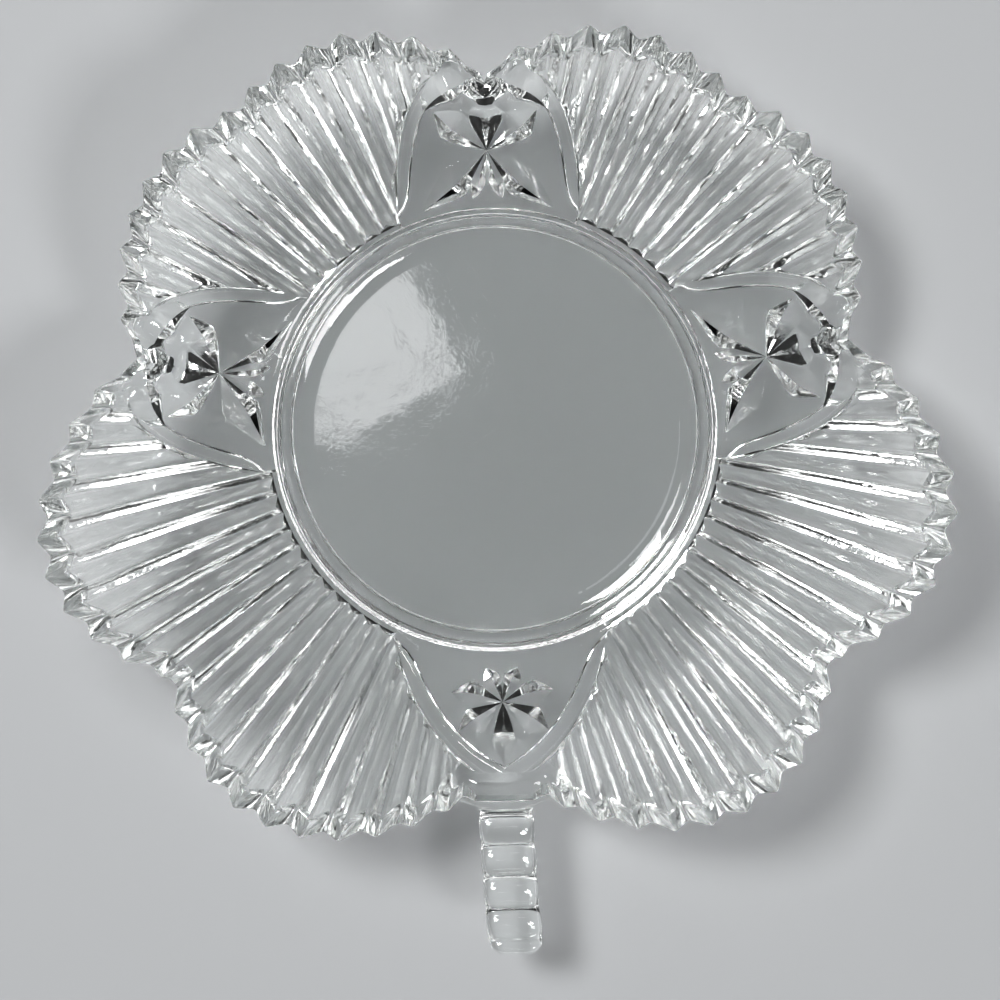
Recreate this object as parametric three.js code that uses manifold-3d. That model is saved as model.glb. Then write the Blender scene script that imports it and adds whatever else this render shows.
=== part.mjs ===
// Clover-leaf dish in clear pressed glass: a round well, four fluted heart-shaped leaflets, four panels
// with a mitre-cut star between them, and a short ribbed stem as the handle.
// Millimetres, +Z up. The origin is the middle of the foot's flat underside, +Y is the rear, -Y the stem.
// A bearing is an angle seen from above, from the rear axis towards +X, in degrees.
// A reach is a distance outwards from the ring that bounds the well.
import * as THREE from 'three';
import { mergeVertices } from 'three/addons/utils/BufferGeometryUtils.js';
import Module from 'manifold-3d';

const wasm = await Module();
wasm.setup();

// Well and foot
const FLOOR_RADIUS = 34;
const FLOOR_THICKNESS = 4;
const COVE_WIDTH = 6.5;
const COVE_RISE = 4;
const LAND_WIDTH = 1.7;
const FOOT_INSET = 3.2;
const FOOT_HEIGHT = 2.2;
const FOOT_CHAMFER = 0.5;

// Inside of the bowl: its slope at the ring, and the run over which that slope grows by one
const BOWL_SLOPE = 0.5;
const BOWL_BEND = 63;

// Glass thickness in the flutes' valleys and in the star panels
const WALL = 2.4;
const PANEL_WALL = 3.6;

// Clearance between neighbouring sections of the moulding, and how far a seat reaches over a section's edge
const SEAM = 0.3;
const SEAT_LAP = 1.2;

// Outline of the rear leaflets
const REAR_NOTCH_REACH = 21.5;
const REAR_FIRST_PEAK_BEARING = 23.3;
const REAR_FIRST_PEAK_REACH = 31.7;
const REAR_DIP_BEARING = 36.9;
const REAR_DIP_REACH = 29.8;
const REAR_LAST_PEAK_BEARING = 47.5;
const REAR_LAST_PEAK_REACH = 32;

// Outline of the front leaflets
const SIDE_NOTCH_BEARING = 75.8;
const SIDE_NOTCH_REACH = 22.5;
const FRONT_FIRST_PEAK_BEARING = 103.7;
const FRONT_FIRST_PEAK_REACH = 37.2;
const FRONT_DIP_BEARING = 124.5;
const FRONT_DIP_REACH = 28.1;
const FRONT_LAST_PEAK_BEARING = 144.3;
const FRONT_LAST_PEAK_REACH = 34.9;
const FRONT_EDGE_BEARING = 172.9;
const FRONT_EDGE_REACH = 22.7;

// Edge of the rim: how far its underside stands out, as a share of the thickness
const RIM_FLARE = 0.2;

// Flutes on the leaflets' undersides: straight radial V ridges, and the flat lip over the stem
const FLUTE_FACET_ANGLE = 38;
const REAR_FLUTES = 15;
const REAR_FIRST_RIDGE = 5;
const REAR_LAST_RIDGE = 70.5;
const FRONT_FLUTES = 20;
const FRONT_FIRST_RIDGE = 81.2;
const FRONT_LAST_RIDGE = 171.1;
const FRONT_LIP_ANGLE = 4.6;
const FRONT_LIP_SHARE = 0.5;

// Star panels: half of the angle at the ring, the shoulder where the border turns in, how much the sides bow
// out from straight lines towards quarter cosines, and the lip between the border and the rim
const PANEL_HALF_ANGLE = 23;
const PANEL_SHOULDER_ANGLE = 6;
const PANEL_SHOULDER_REACH = 23.4;
const PANEL_BOW = 1;
const FRONT_PANEL_HALF_ANGLE = 28;
const FRONT_PANEL_BOW = 0.5;
const PANEL_CORNER_SHARE = 0.95;
const NOTCH_LIP = 1.2;
const LEAST_LIP = 0.8;

// Rounded band along a panel's border
const BAND_WIDTH = 3.4;
const BAND_RISE = 1.1;
const BAND_LARGEST_SHARE = 0.7;
const BAND_SHOULDER = 0.14;
const BAND_SHOULDER_HEIGHT = 0.74;

// Mitre-cut stars: where their centres lie, and the lengths, widths and directions of the leaf-shaped cuts
const STAR_REACH = 9;
const FRONT_STAR_REACH = 7.4;
const RAY_FACET_ANGLE = 38;
const RAY_BELLY = 0.62;
const RAY_WIDTH = 6.4;
const OUTWARD_RAY = 7.6;
const SHOULDER_RAY = 11.6;
const SHOULDER_RAY_TURN = 53;
const CORNER_RAY = 16.4;
const CORNER_RAY_TURN = 132;
const INWARD_RAY = 8.4;
const INWARD_RAY_WIDTH = 3.8;
const FRONT_RAY_WIDTH = 5;
const FRONT_OUTWARD_RAY = 10.5;
const FRONT_SHOULDER_RAY = 9.6;
const FRONT_SHOULDER_RAY_TURN = 60;
const FRONT_SIDE_RAY = 9.6;
const FRONT_SIDE_RAY_TURN = 102;
const FRONT_TAIL_RAY = 6.6;
const FRONT_TAIL_RAY_WIDTH = 4;
const FRONT_TAIL_RAY_TURN = 153;

// Shallow wedge that runs from a shield's notch towards its star
const WEDGE_START = 6;
const WEDGE_LENGTH = 9;
const WEDGE_WIDTH = 6.4;
const WEDGE_DEPTH = 1.1;

// Stem handle: thin where it leaves the underside, with scalloped cross ribs on top
const STEM_LENGTH = 30.8;
const STEM_WIDTH = 10.4;
const STEM_THICKNESS = 6.8;
const STEM_ROOT_THICKNESS = 3.2;
const STEM_ROOT_DEPTH = 6;
const STEM_THICKENING = 12;
const STEM_DROP = 3.4;
const STEM_RIB_PITCH = 6.2;
const STEM_RIB_HEIGHT = 1.2;
const STEM_RIB_SWELL = 0.25;
const STEM_BEND = 1.3;
const STEM_END_RADIUS = 3;
const STEM_END_FLATNESS = 0.7;
const STEM_END_SHARE = 0.98;
const STEM_SECTION_POWER = 0.5;
const COLLAR_FLARE = 5.2;
const COLLAR_LENGTH = 3.4;

// Fineness of the facets
const WELL_SEGMENTS = 72;
const COVE_STEPS = 5;
const LEAFLET_ROWS = 7;
const PANEL_TIP_COLUMNS = 4;
const PANEL_SIDE_COLUMNS = 8;
const PANEL_FIELD_ROWS = 4;
const BORDER_STEP = 0.05;
const STEM_ROOT_STEPS = 6;
const STEM_STEPS_PER_RIB = 8;
const STEM_END_STEPS = 5;
const STEM_SECTION_POINTS = 24;

const RING_RADIUS = FLOOR_RADIUS + COVE_WIDTH + LAND_WIDTH;
const RING_HEIGHT = FLOOR_THICKNESS + COVE_RISE;
const FOOT_RADIUS = RING_RADIUS - FOOT_INSET;

const QUARTER_TURN = Math.PI / 2;
const { degToRad, radToDeg, lerp, clamp, smoothstep, euclideanModulo } = THREE.MathUtils;

// Evenly spaced values, both ends included
function spread(start, end, count) {
  return Array.from({ length: count + 1 }, (_, step) => lerp(start, end, step / count));
}

// A bearing brought between -180 and 180
function halfTurn(bearing) {
  return euclideanModulo(bearing + 180, 360) - 180;
}

// Height of the bowl's inside at a reach from the ring
function bowlHeight(reach) {
  return RING_HEIGHT + BOWL_SLOPE * reach + (reach * reach) / (2 * BOWL_BEND);
}

// A point in the glass: straight in from the bowl's inside by a depth, square to that surface
function glassPoint(bearing, reach, depth) {
  const slope = BOWL_SLOPE + reach / BOWL_BEND;
  const secant = Math.hypot(1, slope);
  const radius = RING_RADIUS + reach + (depth * slope) / secant;
  const angle = degToRad(bearing);
  return new THREE.Vector3(
    radius * Math.sin(angle),
    radius * Math.cos(angle),
    bowlHeight(reach) - depth / secant,
  );
}

// The rim's outline on the right side is a row of quarter-sine arches, each from a low point up to a peak
const REAR_NOTCH = { bearing: 0, reach: REAR_NOTCH_REACH };
const REAR_FIRST_PEAK = { bearing: REAR_FIRST_PEAK_BEARING, reach: REAR_FIRST_PEAK_REACH };
const REAR_DIP = { bearing: REAR_DIP_BEARING, reach: REAR_DIP_REACH };
const REAR_LAST_PEAK = { bearing: REAR_LAST_PEAK_BEARING, reach: REAR_LAST_PEAK_REACH };
const SIDE_NOTCH = { bearing: SIDE_NOTCH_BEARING, reach: SIDE_NOTCH_REACH };
const FRONT_FIRST_PEAK = { bearing: FRONT_FIRST_PEAK_BEARING, reach: FRONT_FIRST_PEAK_REACH };
const FRONT_DIP = { bearing: FRONT_DIP_BEARING, reach: FRONT_DIP_REACH };
const FRONT_LAST_PEAK = { bearing: FRONT_LAST_PEAK_BEARING, reach: FRONT_LAST_PEAK_REACH };
const FRONT_EDGE = { bearing: FRONT_EDGE_BEARING, reach: FRONT_EDGE_REACH };
const ARCHES = [
  { low: REAR_NOTCH, peak: REAR_FIRST_PEAK },
  { low: REAR_DIP, peak: REAR_FIRST_PEAK },
  { low: REAR_DIP, peak: REAR_LAST_PEAK },
  { low: SIDE_NOTCH, peak: REAR_LAST_PEAK },
  { low: SIDE_NOTCH, peak: FRONT_FIRST_PEAK },
  { low: FRONT_DIP, peak: FRONT_FIRST_PEAK },
  { low: FRONT_DIP, peak: FRONT_LAST_PEAK },
  { low: FRONT_EDGE, peak: FRONT_LAST_PEAK },
];

// Reach of the rim's inner edge; both halves of the dish are alike
function rimReach(bearing) {
  const turn = Math.abs(halfTurn(bearing));
  const arch = ARCHES.find(({ low, peak }) => (turn - low.bearing) * (turn - peak.bearing) <= 0);
  if (!arch) {
    return FRONT_EDGE_REACH;
  }
  const share = (turn - arch.low.bearing) / (arch.peak.bearing - arch.low.bearing);
  return lerp(arch.low.reach, arch.peak.reach, Math.sin(share * QUARTER_TURN));
}

// A mitre cut that starts at a star's centre; the angle of its facets gives its depth
function mitreRay(turn, length, width) {
  return { turn, start: 0, length, width, depth: (width / 2) * Math.tan(degToRad(RAY_FACET_ANGLE)) };
}
const RAYS = [
  mitreRay(0, OUTWARD_RAY, RAY_WIDTH),
  mitreRay(SHOULDER_RAY_TURN, SHOULDER_RAY, RAY_WIDTH),
  mitreRay(-SHOULDER_RAY_TURN, SHOULDER_RAY, RAY_WIDTH),
  mitreRay(CORNER_RAY_TURN, CORNER_RAY, RAY_WIDTH),
  mitreRay(-CORNER_RAY_TURN, CORNER_RAY, RAY_WIDTH),
  mitreRay(180, INWARD_RAY, INWARD_RAY_WIDTH),
  { turn: 0, start: WEDGE_START, length: WEDGE_LENGTH, width: WEDGE_WIDTH, depth: WEDGE_DEPTH },
];
const FRONT_RAYS = [
  mitreRay(0, FRONT_OUTWARD_RAY, FRONT_RAY_WIDTH),
  mitreRay(FRONT_SHOULDER_RAY_TURN, FRONT_SHOULDER_RAY, FRONT_RAY_WIDTH),
  mitreRay(-FRONT_SHOULDER_RAY_TURN, FRONT_SHOULDER_RAY, FRONT_RAY_WIDTH),
  mitreRay(FRONT_SIDE_RAY_TURN, FRONT_SIDE_RAY, FRONT_RAY_WIDTH),
  mitreRay(-FRONT_SIDE_RAY_TURN, FRONT_SIDE_RAY, FRONT_RAY_WIDTH),
  mitreRay(FRONT_TAIL_RAY_TURN, FRONT_TAIL_RAY, FRONT_TAIL_RAY_WIDTH),
  mitreRay(-FRONT_TAIL_RAY_TURN, FRONT_TAIL_RAY, FRONT_TAIL_RAY_WIDTH),
];

// One panel in each gap between leaflets: the front one is a bowed V, the others a shouldered shield
function shieldPanel(name, bearing, notchReach) {
  return {
    name,
    bearing,
    halfAngle: PANEL_HALF_ANGLE,
    shoulderAngle: PANEL_SHOULDER_ANGLE,
    shoulderReach: PANEL_SHOULDER_REACH,
    tipReach: notchReach - NOTCH_LIP,
    bow: PANEL_BOW,
    starReach: STAR_REACH,
    rays: RAYS,
  };
}
const PANELS = [
  shieldPanel('star_panel_rear', 0, REAR_NOTCH_REACH),
  shieldPanel('star_panel_right', SIDE_NOTCH_BEARING, SIDE_NOTCH_REACH),
  shieldPanel('star_panel_left', -SIDE_NOTCH_BEARING, SIDE_NOTCH_REACH),
  {
    name: 'star_panel_front',
    bearing: 180,
    halfAngle: FRONT_PANEL_HALF_ANGLE,
    shoulderAngle: 0,
    shoulderReach: FRONT_EDGE_REACH - NOTCH_LIP,
    tipReach: FRONT_EDGE_REACH - NOTCH_LIP,
    bow: FRONT_PANEL_BOW,
    starReach: FRONT_STAR_REACH,
    rays: FRONT_RAYS,
  },
];

// Reach of a panel's border at a turn from the panel's middle line, inside the rim's lip
function borderReach(panel, turn) {
  const side = Math.abs(turn);
  if (side >= panel.halfAngle) {
    return 0;
  }
  const inRim = rimReach(panel.bearing + turn) - LEAST_LIP;
  if (side < panel.shoulderAngle) {
    const arch = Math.sin((side / panel.shoulderAngle) * QUARTER_TURN);
    return Math.min(lerp(panel.tipReach, panel.shoulderReach, arch), inRim);
  }
  const share = (side - panel.shoulderAngle) / (panel.halfAngle - panel.shoulderAngle);
  const fall = lerp(1 - share, Math.cos(share * QUARTER_TURN), panel.bow);
  return Math.min(panel.shoulderReach * fall, inRim);
}

// How much longer a width square to the border is when it is measured along the reach
function borderStretch(panel, turn) {
  const side = Math.abs(turn);
  const border = borderReach(panel, side);
  const fall = (borderReach(panel, side + BORDER_STEP) - border) / degToRad(BORDER_STEP);
  return Math.hypot(1, fall / (RING_RADIUS + border));
}

// A leaflet on the right side runs between two notches; the left side mirrors it
function leafletBetween(start, end, firstRidge, lastRidge, count) {
  const ridges = spread(firstRidge, lastRidge, count - 1);
  return { start, end, ridges, halfPitch: (ridges[1] - ridges[0]) / 2 };
}
const REAR_LEAFLET = leafletBetween(0, SIDE_NOTCH_BEARING, REAR_FIRST_RIDGE, REAR_LAST_RIDGE, REAR_FLUTES);
const FRONT_LEAFLET = leafletBetween(
  SIDE_NOTCH_BEARING,
  180,
  FRONT_FIRST_RIDGE,
  FRONT_LAST_RIDGE,
  FRONT_FLUTES,
);

// Share of a full ridge at a bearing: one on a ridge, zero in a valley, and level on the lip over the stem
function fluteShare(leaflet, bearing) {
  const nearest = Math.min(...leaflet.ridges.map((ridge) => Math.abs(ridge - bearing)));
  const lastValley = FRONT_LAST_RIDGE + FRONT_LEAFLET.halfPitch;
  const ontoLip = clamp((bearing - lastValley) / (180 - FRONT_LIP_ANGLE - lastValley), 0, 1);
  return Math.max(1 - nearest / leaflet.halfPitch, FRONT_LIP_SHARE * ontoLip);
}

// Height of a full ridge at a reach
function ridgeHeight(leaflet, reach) {
  return (RING_RADIUS + reach) * degToRad(leaflet.halfPitch) * Math.tan(degToRad(FLUTE_FACET_ANGLE));
}

function leafletDepth(leaflet, bearing, reach) {
  return WALL + fluteShare(leaflet, bearing) * ridgeHeight(leaflet, reach);
}

// Bearings where the leaflet's surface or its edge has a crease
function leafletColumns(leaflet, gap) {
  const edgeTurn = radToDeg(gap / 2 / RING_RADIUS);
  const corners = PANELS.flatMap((panel) =>
    [-1, 1].flatMap((side) => [
      panel.bearing + side * panel.halfAngle,
      panel.bearing + side * panel.shoulderAngle,
    ]),
  );
  const creases = [
    ...leaflet.ridges.map((ridge) => ridge - leaflet.halfPitch),
    ...leaflet.ridges,
    leaflet.ridges[leaflet.ridges.length - 1] + leaflet.halfPitch,
    ...corners,
    FRONT_EDGE_BEARING,
    180 - FRONT_LIP_ANGLE,
  ];
  const start = leaflet.start + edgeTurn;
  const end = leaflet.end - edgeTurn;
  const inside = creases.filter((bearing) => bearing > start && bearing < end);
  return [start, ...inside.sort((a, b) => a - b), end];
}

// Merges repeated vertices and gives the mesh to the solid modeller
function toSolid(geometry) {
  const plain = geometry.clone();
  plain.deleteAttribute('normal');
  plain.deleteAttribute('uv');
  const merged = mergeVertices(plain);
  const vertProperties = Float32Array.from(merged.attributes.position.array);
  const triVerts = Uint32Array.from(merged.index.array);
  return new wasm.Manifold(new wasm.Mesh({ numProp: 3, vertProperties, triVerts }));
}

function toGeometry(solid) {
  const { vertProperties, triVerts } = solid.getMesh();
  const geometry = new THREE.BufferGeometry();
  geometry.setAttribute('position', new THREE.BufferAttribute(vertProperties, 3));
  geometry.setIndex(new THREE.BufferAttribute(triVerts, 1));
  geometry.computeVertexNormals();
  return geometry;
}

function meshGeometry(points, triangles) {
  const geometry = new THREE.BufferGeometry();
  geometry.setFromPoints(points);
  geometry.setIndex(triangles);
  geometry.computeVertexNormals();
  return geometry;
}

// A closed slab from columns of point pairs, inside face and underside, that run outwards from the ring
function slab(columns) {
  const rows = columns[0].length;
  const points = columns.flatMap((column) => column.flatMap(({ inside, under }) => [inside, under]));
  const inside = (column, row) => 2 * (column * rows + row);
  const under = (column, row) => inside(column, row) + 1;
  const triangles = [];
  const quad = (a, b, c, d) => triangles.push(a, b, c, a, c, d);
  const lastColumn = columns.length - 1;
  const lastRow = rows - 1;
  for (let i = 0; i < lastColumn; i += 1) {
    for (let j = 0; j < lastRow; j += 1) {
      quad(inside(i, j), inside(i + 1, j), inside(i + 1, j + 1), inside(i, j + 1));
      quad(under(i, j), under(i, j + 1), under(i + 1, j + 1), under(i + 1, j));
    }
    quad(inside(i, 0), under(i, 0), under(i + 1, 0), inside(i + 1, 0));
    quad(inside(i + 1, lastRow), under(i + 1, lastRow), under(i, lastRow), inside(i, lastRow));
  }
  for (let j = 0; j < lastRow; j += 1) {
    quad(inside(0, j + 1), under(0, j + 1), under(0, j), inside(0, j));
    quad(inside(lastColumn, j), under(lastColumn, j), under(lastColumn, j + 1), inside(lastColumn, j + 1));
  }
  return meshGeometry(points, triangles);
}

// How a leaflet is made: as a section clear of its neighbours, or grown into its seat in another section
const SECTION = { gap: SEAM, lap: 0, growth: 0 };
const SEAT = { gap: -SEAM, lap: SEAT_LAP, growth: SEAM };

// A fluted leaflet; its columns run from the ring or a panel's border to the rim
function leafletGeometry(leaflet, side, { gap, lap, growth }) {
  const columns = leafletColumns(leaflet, gap).map((bearing) => {
    const borders = PANELS.map((panel) => borderReach(panel, halfTurn(bearing - panel.bearing)));
    const start = Math.max(gap, Math.max(...borders) - lap);
    const rim = rimReach(bearing);
    const rimUnder = rim + RIM_FLARE * leafletDepth(leaflet, bearing, rim);
    return spread(0, 1, LEAFLET_ROWS - 1).map((share) => {
      const under = lerp(start, rimUnder, share);
      return {
        inside: glassPoint(side * bearing, lerp(start, rim, share), 0),
        under: glassPoint(side * bearing, under, leafletDepth(leaflet, bearing, under) + growth),
      };
    });
  });
  return slab(side > 0 ? columns : columns.reverse());
}

// Rounded section of a band: place across it from the border and height there, as shares of width and rise
const BAND_SECTION = [
  { across: 1 - BAND_SHOULDER, height: BAND_SHOULDER_HEIGHT },
  { across: 0.5, height: 1 },
  { across: BAND_SHOULDER, height: BAND_SHOULDER_HEIGHT },
  { across: 0, height: 0 },
];

// Turns of a panel's columns from its middle line
function panelTurns(panel) {
  const outerTurn = panel.halfAngle * PANEL_CORNER_SHARE;
  const tip = panel.shoulderAngle > 0 ? spread(0, panel.shoulderAngle, PANEL_TIP_COLUMNS) : [0];
  const half = [...tip, ...spread(panel.shoulderAngle, outerTurn, PANEL_SIDE_COLUMNS).slice(1)];
  const mirrored = half.slice(1).map((turn) => -turn);
  return [...mirrored.reverse(), ...half];
}

// The plain shield of a panel, with the raised band along its border on the underside
function panelGeometry(panel, growth) {
  const columns = panelTurns(panel).map((turn) => {
    const stretch = borderStretch(panel, turn);
    const border = borderReach(panel, turn) - SEAM * stretch;
    const band = Math.min(BAND_WIDTH * stretch, (border - SEAM) * BAND_LARGEST_SHARE);
    const field = spread(SEAM, border - band, PANEL_FIELD_ROWS).map((reach) => ({ reach, rise: 0 }));
    const bolster = BAND_SECTION.map(({ across, height }) => ({
      reach: border - band * across,
      rise: BAND_RISE * height,
    }));
    return [...field, ...bolster].map(({ reach, rise }) => ({
      inside: glassPoint(panel.bearing + turn, reach, 0),
      under: glassPoint(panel.bearing + turn, reach, PANEL_WALL + rise + growth),
    }));
  });
  return slab(columns);
}

// A double pyramid that cuts one leaf-shaped V groove: pointed at both ends, widest and deepest at its belly
function rayCutter(panel, ray) {
  const starRadius = RING_RADIUS + panel.starReach;
  const heading = degToRad(ray.turn);
  const place = (along, aside, depth) => {
    const outward = starRadius + along * Math.cos(heading) - aside * Math.sin(heading);
    const across = along * Math.sin(heading) + aside * Math.cos(heading);
    const bearing = panel.bearing + radToDeg(Math.atan2(across, outward));
    return glassPoint(bearing, Math.hypot(across, outward) - RING_RADIUS, depth);
  };
  const proud = PANEL_WALL + SEAM / 2;
  const belly = ray.start + ray.length * RAY_BELLY;
  const points = [
    place(ray.start, 0, proud),
    place(belly, ray.width / 2, proud),
    place(ray.start + ray.length, 0, proud),
    place(belly, -ray.width / 2, proud),
    place(belly, 0, PANEL_WALL - ray.depth),
    place(belly, 0, PANEL_WALL + ray.depth),
  ];
  const triangles = [];
  for (let edge = 0; edge < 4; edge += 1) {
    const next = (edge + 1) % 4;
    triangles.push(edge, next, 4, next, edge, 5);
  }
  return toSolid(meshGeometry(points, triangles));
}

function starPanelGeometry(panel) {
  const rays = panel.rays.map((ray) => rayCutter(panel, ray));
  const star = rays.reduce((joined, ray) => joined.add(ray));
  return toGeometry(toSolid(panelGeometry(panel, 0)).subtract(star));
}

// Turns a profile of radius and height about the vertical axis
function turned(profile) {
  const lathe = new THREE.LatheGeometry(profile, WELL_SEGMENTS);
  lathe.rotateX(Math.PI / 2);
  return lathe;
}

// Turned solid of the well: a flat foot, a flat floor, the cove round it and the land at its edge
function wellGeometry() {
  const ringDepth = WALL + ridgeHeight(REAR_LEAFLET, 0);
  const secant = Math.hypot(1, BOWL_SLOPE);
  const profile = [
    new THREE.Vector2(0, 0),
    new THREE.Vector2(FOOT_RADIUS - FOOT_CHAMFER, 0),
    new THREE.Vector2(FOOT_RADIUS, FOOT_CHAMFER),
    new THREE.Vector2(FOOT_RADIUS, FOOT_HEIGHT),
    new THREE.Vector2(RING_RADIUS + (ringDepth * BOWL_SLOPE) / secant, RING_HEIGHT - ringDepth / secant),
    new THREE.Vector2(RING_RADIUS, RING_HEIGHT),
  ];
  for (const angle of spread(QUARTER_TURN, 0, COVE_STEPS)) {
    profile.push(
      new THREE.Vector2(
        FLOOR_RADIUS + COVE_WIDTH * Math.sin(angle),
        RING_HEIGHT - COVE_RISE * Math.cos(angle),
      ),
    );
  }
  profile.push(new THREE.Vector2(0, FLOOR_THICKNESS));
  return turned(profile);
}

// Sine or cosine of a section's angle, squared off towards a rounded rectangle
function squaredOff(value) {
  return Math.sign(value) * Math.abs(value) ** STEM_SECTION_POWER;
}

// One rounded section of the stem at a run outwards from the dish's axis
function stemSection(run, rootRun, topHeight) {
  const out = run - rootRun;
  const share = clamp(out / STEM_LENGTH, 0, 1);
  const pastCollar = smoothstep(out, 0, COLLAR_LENGTH);
  const intoEnd = clamp(out - (STEM_LENGTH - STEM_END_RADIUS), 0, STEM_END_RADIUS);
  const rounding = STEM_END_RADIUS - Math.sqrt(STEM_END_RADIUS ** 2 - intoEnd ** 2);
  const scallop = Math.abs(Math.sin((Math.PI * (out - COLLAR_LENGTH)) / STEM_RIB_PITCH));
  const groove = (1 - scallop) * pastCollar;
  const fullness = smoothstep(out, -STEM_ROOT_DEPTH, STEM_THICKENING);
  const thickness = lerp(STEM_ROOT_THICKNESS, STEM_THICKNESS, fullness);
  const halfWidth = STEM_WIDTH / 2 + COLLAR_FLARE * (1 - pastCollar) - rounding - STEM_RIB_SWELL * groove;
  const halfThickness = thickness / 2 - rounding * STEM_END_FLATNESS;
  return spread(0, 2 * Math.PI, STEM_SECTION_POINTS)
    .slice(1)
    .map((angle) => {
      const across = squaredOff(Math.cos(angle));
      const up = squaredOff(Math.sin(angle));
      return new THREE.Vector3(
        STEM_BEND * share * share + halfWidth * across,
        -run,
        topHeight - thickness / 2 + halfThickness * up - STEM_RIB_HEIGHT * groove * Math.max(up, 0),
      );
    });
}

// Skins a row of rings with equal point counts and closes both ends
function loft(rings) {
  const count = rings[0].length;
  const points = rings.flat();
  const triangles = [];
  for (let i = 0; i < rings.length - 1; i += 1) {
    for (let j = 0; j < count; j += 1) {
      const next = (j + 1) % count;
      const a = i * count + j;
      const b = i * count + next;
      triangles.push(a, b, b + count, a, b + count, a + count);
    }
  }
  const last = (rings.length - 1) * count;
  for (let j = 1; j < count - 1; j += 1) {
    triangles.push(0, j + 1, j, last, last + j, last + j + 1);
  }
  return meshGeometry(points, triangles);
}

// The room inside the bowl, down to the middle of the wall
function bowlCore() {
  const profile = [new THREE.Vector2(0, RING_HEIGHT)];
  for (const reach of spread(0, FRONT_EDGE_REACH, LEAFLET_ROWS - 1)) {
    const point = glassPoint(0, reach, WALL / 2);
    profile.push(new THREE.Vector2(point.y, point.z));
  }
  profile.push(new THREE.Vector2(0, bowlHeight(FRONT_EDGE_REACH) + WALL));
  return turned(profile);
}

// The stem grows out of the underside below the front edge, and is cut to the sections that it seats on
function stemGeometry() {
  const rootRun = -glassPoint(180, FRONT_EDGE_REACH, WALL).y;
  const topHeight = bowlHeight(FRONT_EDGE_REACH) - STEM_DROP;
  const firstGroove = rootRun + COLLAR_LENGTH;
  const shoulder = rootRun + STEM_LENGTH - STEM_END_RADIUS;
  const step = STEM_RIB_PITCH / STEM_STEPS_PER_RIB;
  const runs = spread(rootRun - STEM_ROOT_DEPTH, firstGroove, STEM_ROOT_STEPS);
  for (let run = firstGroove + step; run < shoulder - step / 2; run += step) {
    runs.push(run);
  }
  for (const share of spread(0, STEM_END_SHARE, STEM_END_STEPS)) {
    runs.push(shoulder + STEM_END_RADIUS * Math.sin(share * QUARTER_TURN));
  }
  const body = toSolid(loft(runs.map((run) => stemSection(run, rootRun, topHeight))));
  const front = PANELS.find((panel) => panel.bearing === 180);
  const seats = [
    panelGeometry(front, SEAM),
    leafletGeometry(FRONT_LEAFLET, 1, SEAT),
    leafletGeometry(FRONT_LEAFLET, -1, SEAT),
    bowlCore(),
  ];
  return toGeometry(seats.reduce((solid, seat) => solid.subtract(toSolid(seat)), body));
}

const dish = new THREE.Group();

function addSection(name, geometry) {
  const glass = new THREE.MeshStandardMaterial({
    color: '#e9eef0',
    roughness: 0.05,
    metalness: 0,
    transparent: true,
    opacity: 0.35,
  });
  const mesh = new THREE.Mesh(geometry, glass);
  mesh.name = name;
  dish.add(mesh);
}

addSection('well', wellGeometry());
addSection('leaflet_rear_right', leafletGeometry(REAR_LEAFLET, 1, SECTION));
addSection('leaflet_rear_left', leafletGeometry(REAR_LEAFLET, -1, SECTION));
addSection('leaflet_front_right', leafletGeometry(FRONT_LEAFLET, 1, SECTION));
addSection('leaflet_front_left', leafletGeometry(FRONT_LEAFLET, -1, SECTION));
for (const panel of PANELS) {
  addSection(panel.name, starPanelGeometry(panel));
}
addSection('stem_handle', stemGeometry());

export default dish;
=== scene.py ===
"""Looks of the clover-leaf dish: one body of clear pressed glass with its stem, on a pale studio floor.

Sizes of the glass are in millimetres and turn into metres where a mesh is made. The studio's are in metres,
unless a name says otherwise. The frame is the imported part's own: +Z up, origin in the middle of the foot,
+Y the rear, -Y the stem. A bearing is an angle seen from above, from the rear axis towards +X, in degrees.
A reach is a distance outwards from the ring that bounds the well.
"""

import logging
import math
from dataclasses import dataclass, field
from enum import Enum
from typing import Any, Callable, Iterable, Sequence

import bpy
from mathutils import Matrix, Vector


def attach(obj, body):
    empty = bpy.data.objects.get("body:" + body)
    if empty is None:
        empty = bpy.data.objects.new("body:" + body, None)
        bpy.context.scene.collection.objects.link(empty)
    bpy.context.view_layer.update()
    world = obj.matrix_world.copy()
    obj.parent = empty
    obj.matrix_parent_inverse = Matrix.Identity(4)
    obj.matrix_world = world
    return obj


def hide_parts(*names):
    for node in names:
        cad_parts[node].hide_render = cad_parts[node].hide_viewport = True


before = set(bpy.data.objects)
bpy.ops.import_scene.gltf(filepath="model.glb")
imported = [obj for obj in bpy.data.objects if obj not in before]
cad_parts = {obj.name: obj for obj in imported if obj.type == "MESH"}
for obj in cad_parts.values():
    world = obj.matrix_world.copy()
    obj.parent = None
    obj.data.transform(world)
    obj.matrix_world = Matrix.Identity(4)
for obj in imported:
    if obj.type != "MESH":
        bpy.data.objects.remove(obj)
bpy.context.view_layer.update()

MM = 0.001
LOG = logging.getLogger("clover_dish")

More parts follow.
